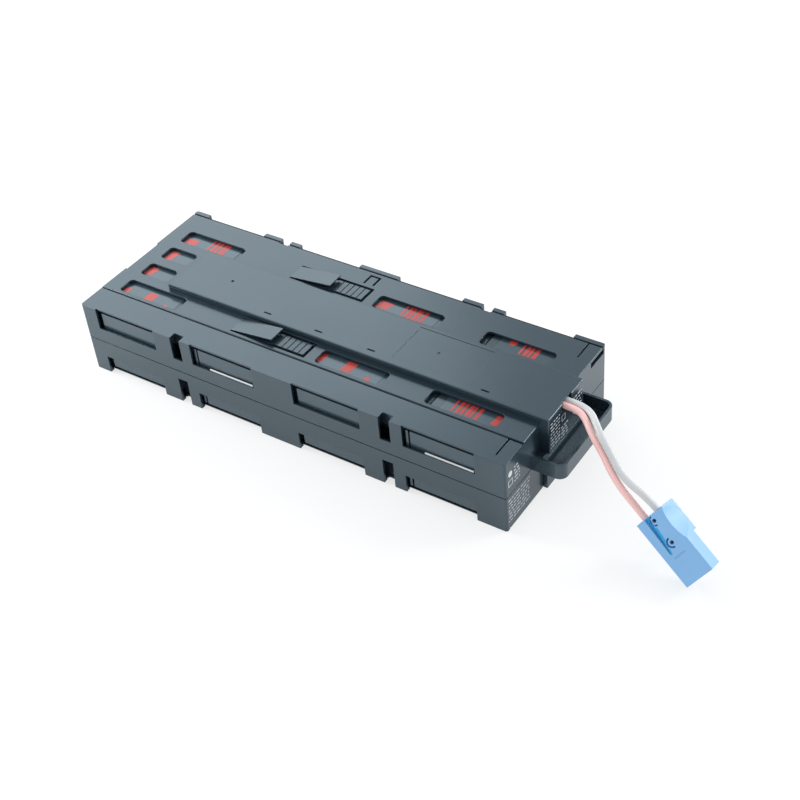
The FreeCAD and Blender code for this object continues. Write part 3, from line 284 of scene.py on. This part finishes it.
def arc(x, y, radius, start, stop):
    """Points along an arc between two angles in degrees."""
    turns = [math.radians(start + (stop - start) * i / ARC_STEPS) for i in range(ARC_STEPS + 1)]
    return [(x + radius * math.cos(turn), y + radius * math.sin(turn)) for turn in turns]


def ring(x0, y0, x1, y1, width):
    """A square frame out of four bars."""
    return [sharp(x0, y0, x1, y0 + width), sharp(x0, y1 - width, x1, y1),
            sharp(x0, y0 + width, x0 + width, y1 - width),
            sharp(x1 - width, y0 + width, x1, y1 - width)]


def stripes(x0, y0, x1, y1, count, fill):
    """Upright bars of uneven width side by side."""
    pitch = (x1 - x0) / count
    return [oblong(x0 + i * pitch, y0, x0 + (i + fill * BAR_WIDTHS[i % 4]) * pitch, y1, 0.0, 0.5)
            for i in range(count)]


def lines(x0, y0, x1, y1, rows):
    """Level bars of mixed lengths, one above another, broken by gaps."""
    outlines = []
    pitch = (y1 - y0) / rows
    for row in range(rows):
        low = y0 + row * pitch
        start = x0 + LINE_INDENT * (row % 3)
        piece = 0
        while start < x1 - 1.0:
            reach = LINE_SHORTEST + LINE_STEP * ((3 * row + 5 * piece + row * piece) % 4)
            outlines.append(oblong(start, low, min(start + reach, x1), low + LINE_FILL * pitch,
                                   0.0, 0.15, 2))
            start += reach + LINE_GAP + LINE_GAP_STEP * ((row + piece) % 2)
            piece += 1
    return outlines


# Thin pieces raised from outlines: painted recess shades, prints, pads, painted seam shadows and
# strips

PRINT_THICKNESS = 0.06


def plane(origin, along, up):
    """Matrix of a plane through a point in millimetres, with its x and y directions."""
    along, up = Vector(along).normalized(), Vector(up).normalized()
    axes = Matrix((along, up, along.cross(up))).transposed().to_4x4()
    return Matrix.Translation(Vector(origin) * MM) @ axes


def raised(name, outlines, matrix, thickness, material):
    """One piece out of flat blocks on a plane, thickness in millimetres."""
    mesh = bpy.data.meshes.new(name)
    shape = bmesh.new()
    for outline in outlines:
        low = [shape.verts.new((x * MM, y * MM, 0.0)) for x, y in outline]
        high = [shape.verts.new((x * MM, y * MM, thickness * MM)) for x, y in outline]
        shape.faces.new(high)
        shape.faces.new(low[::-1])
        for i in range(len(outline)):
            j = (i + 1) % len(outline)
            shape.faces.new((low[i], low[j], high[j], high[i]))
    shape.transform(matrix)
    shape.to_mesh(mesh)
    shape.free()
    mesh.materials.append(material)
    item = add_object(name, mesh)
    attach(item, BODY)
    return item


# Painted shade: sheets of darker blue on the floors of the recesses in the connector's broad
# face and on the face beside the wedge, in the connector's own millimetres: x from its rear to
# its mouth, y across, z out of the broad face

CONNECTOR_ORIGIN = (316.1, -61.9, 38.58)
CONNECTOR_TURNS = (-13.7, 32.3, 59.2)
PIN_HOLES = ((4.9, 14.0), (25.0, 14.0))
PIN_HOLE_RADIUS = 1.5
CRESCENT_RADII = (4.3, 3.2)
RELIEF_DEPTH = 2.2
SLOT_DEPTH = 3.0
HOLE_DEPTH = 4.0
SHADE_SHEET_THICKNESS = 0.06


def connector_matrix():
    yaw, pitch, roll = (math.radians(turn) for turn in CONNECTOR_TURNS)
    return (Matrix.Translation(Vector(CONNECTOR_ORIGIN) * MM) @ Matrix.Rotation(yaw, 4, "Z")
            @ Matrix.Rotation(pitch, 4, "Y") @ Matrix.Rotation(roll, 4, "X"))


def painted_recess_shades():
    """Painted shade: the wedge, the two crescents, the two pin holes and a field by the wedge,
    each with its own shade of blue.
    """
    base = connector_matrix()
    outer, inner = CRESCENT_RADII
    wedge_shade = [(0.2, 7.9), (31.3, 6.96), (31.3, 7.14), *arc(*PIN_HOLES[0], 4.5, -39.6, -159.3),
             (0.2, 12.4)]
    shade_beside_wedge = [(9.6, 11.05), (31.7, 7.25), (32.2, 8.6), (28.4, 9.25), (25.0, 9.45), (22.4, 10.2),
              (20.6, 11.2), (14.0, 11.9), (9.6, 12.2)]
    slot_shades = [arc(x, y, outer, -174.0, -6.0) + arc(x, y, inner, -6.0, -174.0)
             for x, y in PIN_HOLES]
    hole_shades = [disc(x, y, PIN_HOLE_RADIUS) for x, y in PIN_HOLES]
    pieces = []
    for name, outlines, depth, material in (
            ("connector_wedge_painted_shade", [wedge_shade], RELIEF_DEPTH, RECESS_SHADE_BLUE),
            ("connector_wedge_side_painted_shade", [shade_beside_wedge], 0.0, RECESS_SHADE_BLUE),
            ("connector_slot_painted_shades", slot_shades, SLOT_DEPTH, SLOT_SHADE_BLUE),
            ("connector_hole_painted_shades", hole_shades, HOLE_DEPTH, HOLE_SHADE_NAVY)):
        level = Matrix.Translation((0.0, 0.0, -depth * MM))
        pieces.append(raised(name, outlines, base @ level, SHADE_SHEET_THICKNESS, material))
    return pieces


PAINTED_RECESS_SHADES = painted_recess_shades()


# Free leads: the routes of the two leads, in millimetres, from the notch in the wiring cover to
# the connector, with X counted from the notch

LEAD_DIAMETER = 5.6 * MM
LEAD_STEPS = 12
LEAD_ROUNDNESS = 8
NOTCH_X = 224.5
POSITIVE_ROUTE = (
    (0.0, -1.8, 72.9), (10.0, -1.8, 72.9), (19.0, -5.5, 71.5), (31.5, -17.5, 67.5),
    (45.5, -26.5, 62.0), (58.0, -37.0, 57.0), (71.0, -45.5, 53.0), (83.74, -50.65, 48.06),
    (95.05, -53.41, 40.70))
NEGATIVE_ROUTE = (
    (0.0, 4.4, 72.9), (10.0, 4.4, 72.9), (21.0, 0.5, 73.0), (30.5, -9.5, 73.5),
    (41.0, -20.0, 70.5), (53.5, -28.5, 65.0), (64.5, -37.0, 60.5), (76.5, -42.0, 57.5),
    (90.20, -46.10, 55.50), (101.91, -48.71, 49.49))


def lead(name, node, route, material):
    curve = bpy.data.curves.new(name, "CURVE")
    curve.dimensions = "3D"
    curve.bevel_depth = LEAD_DIAMETER / 2
    curve.bevel_resolution = LEAD_ROUNDNESS
    curve.resolution_u = LEAD_STEPS
    curve.use_fill_caps = True
    spline = curve.splines.new("NURBS")
    spline.points.add(len(route) - 1)
    for point, (x, y, z) in zip(spline.points, route):
        point.co = ((NOTCH_X + x) * MM, y * MM, z * MM, 1.0)
    spline.order_u = 3
    spline.use_endpoint_u = True
    curve.materials.append(material)
    item = add_object(name, curve)
    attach(item, BODY)
    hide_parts(node)


lead("positive_lead", "lead_positive", POSITIVE_ROUTE, PINK)
lead("negative_lead", "lead_negative", NEGATIVE_ROUTE, GREY)


# Red fields on the battery labels

LABEL_FIELDS = {
    1: [oblong(-198.5, 36.5, -186.5, 46.5, 2.0), *stripes(-172.0, 36.5, -150.0, 54.0, 5, 0.66),
        oblong(-198.5, 8.5, -190.5, 22.5, 1.5), oblong(-199.5, -17.0, -191.5, -5.5, 1.5),
        oblong(-199.0, -47.5, -193.5, -40.0, 1.0), oblong(-174.5, -47.0, -165.0, -36.5, 1.0),
        disc(-149.3, -47.4, 2.6)],
    3: [oblong(16.0, 39.5, 28.0, 49.5, 2.0), *stripes(42.0, 38.0, 65.5, 56.5, 6, 0.68),
        oblong(10.5, -45.0, 19.0, -34.0, 1.0), oblong(38.5, -45.5, 48.0, -33.0, 1.0),
        disc(65.2, -45.0, 2.7)],
    4: [disc(147.5, 51.5, 3.6), *stripes(157.0, 40.5, 173.5, 56.5, 4, 0.66),
        *stripes(145.0, -45.5, 170.5, -28.0, 6, 0.62), oblong(181.0, -44.5, 187.0, -33.0, 1.0)],
}
for number, outlines in LABEL_FIELDS.items():
    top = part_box(f"battery_label_{number}")[1][2] / MM
    raised(f"label_print_{number}", outlines, plane((0.0, 0.0, top), (1, 0, 0), (0, 1, 0)),
           PRINT_THICKNESS, PRINT)


# Pale fields on the end wall and on the cover's end

END_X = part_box("upper_shell")[1][0] / MM
COVER_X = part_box("wiring_cover")[1][0] / MM
END_FIELDS = {
    "end_print_low": lines(-79.0, 8.0, -46.0, 33.5, 7),
    "end_print_high": [*ring(-78.0, 44.5, -71.5, 51.0, 0.6), disc(-74.8, 57.0, 2.8),
                       *lines(-69.0, 44.0, -60.5, 62.0, 5)],
}
COVER_FIELDS = {
    "cover_print_left": [*lines(-26.0, 46.0, -11.0, 74.0, 8), *ring(-8.0, 60.5, -2.0, 66.5, 0.6),
                         *lines(-9.0, 44.5, 2.5, 57.5, 4)],
    "cover_print_right": lines(11.0, 54.0, 25.0, 73.0, 5),
}
for fields, x, slot in ((END_FIELDS, END_X, "shell_plastic"),
                        (COVER_FIELDS, COVER_X, "cover_plastic")):
    for name, outlines in fields.items():
        raised(name, outlines, plane((x, 0.0, 0.0), (0, 1, 0), (0, 0, 1)), PRINT_THICKNESS,
               PALE_PRINT)


# Pads between the batteries' long sides and the walls, seen through the side windows, in a
# colour lighter than the shell as painted light against the shade behind the windows: x from
# the middle of the wiring gap, then the inner face of the pad

PAIR_MIDDLES = (-109.0, 106.0)
PAD_SPANS = ((-87.4, -22.4, 75.5), (18.6, 21.0, 74.7), (22.6, 85.2, 75.5))
PAD_LEVELS = (6.0, 66.0)
PAD_FACE = 79.0
for word, side in (("front", -1), ("back", 1)):
    for pair, middle in enumerate(PAIR_MIDDLES, start=1):
        for number, (left, right, inner) in enumerate(PAD_SPANS, start=1):
            start, end = sorted((-side * (middle + left), -side * (middle + right)))
            raised(f"side_pad_{word}_{pair}_{number}",
                   [oblong(start, PAD_LEVELS[0], end, PAD_LEVELS[1])],
                   plane((0.0, side * inner, 0.0), (-side, 0, 0), (0, 0, 1)), PAD_FACE - inner,
                   LIGHTENED_PAD)


# Painted shadow: near-black strips for the shadow gaps in the seams of the top, along the step in
# front and in the groove at the back: level of the underside, spans along x, span across and
# thickness

PAINTED_SEAM_SHADOWS = {
    "front_seam_shadow": (71.2, ((-215.8, 203.9),), (-53.95, -53.3), 0.5),
    "back_seam_shadow": (70.7, ((-214.8, -114.1), (-103.1, 101.3), (111.8, 203.9)), (76.35, 77.65), 0.7),
}
for name, (level, spans, across, thickness) in PAINTED_SEAM_SHADOWS.items():
    raised(name, [sharp(start, across[0], end, across[1]) for start, end in spans],
           plane((0.0, 0.0, level), (1, 0, 0), (0, 1, 0)), thickness, PAINTED_SEAM_SHADOW)


# Pale foam strips that show on the sills of two front windows

SILL = 50.0
FOAM_SPANS = {2: (-74.0, -28.0), 4: (143.0, 187.5)}
FOAM_BACK = -80.0
FOAM_HEIGHT = 1.1
FOAM_THICKNESS = 0.9
for number, (left, right) in FOAM_SPANS.items():
    raised(f"foam_strip_{number}", [oblong(left, 0.0, right, FOAM_HEIGHT, 0.0, 0.3)],
           plane((0.0, FOAM_BACK, SILL), (1, 0, 0), (0, 0, 1)), FOAM_THICKNESS, FOAM)


# Floor, soft light and a white surround

FLOOR_REACH = 6.0
FLOOR_DROP = 0.0005
FLOOR_COLOUR = (0.93, 0.93, 0.93)
FLOOR_SEEN_WHITE = 0.7
FLOOR_MIRRORED_WHITE = 0.3
WHITE = (1.0, 1.0, 1.0)
COOL_LIGHT = (0.94, 0.98, 1.0)
SURROUND_COLOUR = (0.92, 0.97, 1.0)
SURROUND_STRENGTH = 0.82

# Name, place, aim and size in metres, power in watts, colour
LAMPS = (
    ("back_softbox", (-1.74, 1.38, 1.45), (-0.1, 0.0, 0.0), (1.55, 1.3), 9.8, COOL_LIGHT),
    ("right_softbox", (1.0, 0.8, 0.8), (0.25, 0.05, 0.0), (0.5, 0.5), 9.0, WHITE),
    ("front_softbox", (-0.85, -0.20, 0.55), (-0.3, -0.14, 0.0), (0.4, 0.4), 7.5, COOL_LIGHT),
    ("low_back_softbox", (0.70, 1.55, 0.12), (0.33, -0.05, 0.03), (1.4, 0.2), 4.0, WHITE),
)


def floor_material():
    """Matt floor that keeps shadows: partly plain white to the camera, less so in mirrors."""
    material, tree, shader = new_material("floor")
    shader.inputs["Base Color"].default_value = (*FLOOR_COLOUR, 1.0)
    shader.inputs["Roughness"].default_value = 0.9
    path = add_node(tree, "ShaderNodeLightPath")
    seen = add_node(tree, "ShaderNodeMath", {1: FLOOR_SEEN_WHITE}, operation="MULTIPLY")
    mirrored = add_node(tree, "ShaderNodeMath", {1: FLOOR_MIRRORED_WHITE}, operation="MULTIPLY")
    indirect = add_node(tree, "ShaderNodeMath", operation="MAXIMUM")
    share = add_node(tree, "ShaderNodeMath", operation="MAXIMUM")
    white = add_node(tree, "ShaderNodeEmission", {"Color": (*WHITE, 1.0), "Strength": 1.0})
    blend = add_node(tree, "ShaderNodeMixShader")
    output = tree.nodes["Material Output"]
    for source, outlet, target, inlet in (
            (path, "Is Camera Ray", seen, 0), (path, "Is Glossy Ray", indirect, 0),
            (path, "Is Transmission Ray", indirect, 1), (indirect, "Value", mirrored, 0),
            (seen, "Value", share, 0), (mirrored, "Value", share, 1),
            (share, "Value", blend, "Fac"), (shader, "BSDF", blend, 1),
            (white, "Emission", blend, 2), (blend, "Shader", output, "Surface")):
        tree.links.new(source.outputs[outlet], target.inputs[inlet])
    return material


def add_floor():
    mesh = bpy.data.meshes.new("floor")
    corners = [(x * FLOOR_REACH, y * FLOOR_REACH, 0.0)
               for x, y in ((-1, -1), (1, -1), (1, 1), (-1, 1))]
    mesh.from_pydata(corners, [], [(0, 1, 2, 3)])
    floor = add_object("floor", mesh)
    floor.location.z = -FLOOR_DROP
    mesh.materials.append(floor_material())


def add_light(name, place, aim, size, power, colour):
    data = bpy.data.lights.new(name, "AREA")
    data.shape = "RECTANGLE"
    data.size, data.size_y = size
    data.energy = power
    data.color = colour
    item = add_object(name, data)
    item.location = place
    item.rotation_euler = (Vector(aim) - Vector(place)).to_track_quat("-Z", "Y").to_euler()


def add_world():
    world = bpy.data.worlds.new("surround")
    bpy.context.scene.world = world
    world.use_nodes = True
    back = world.node_tree.nodes["Background"]
    back.inputs["Color"].default_value = (*SURROUND_COLOUR, 1.0)
    back.inputs["Strength"].default_value = SURROUND_STRENGTH


add_camera()
add_floor()
add_world()
for lamp in LAMPS:
    add_light(*lamp)
bpy.context.scene.view_settings.view_transform = "Standard"
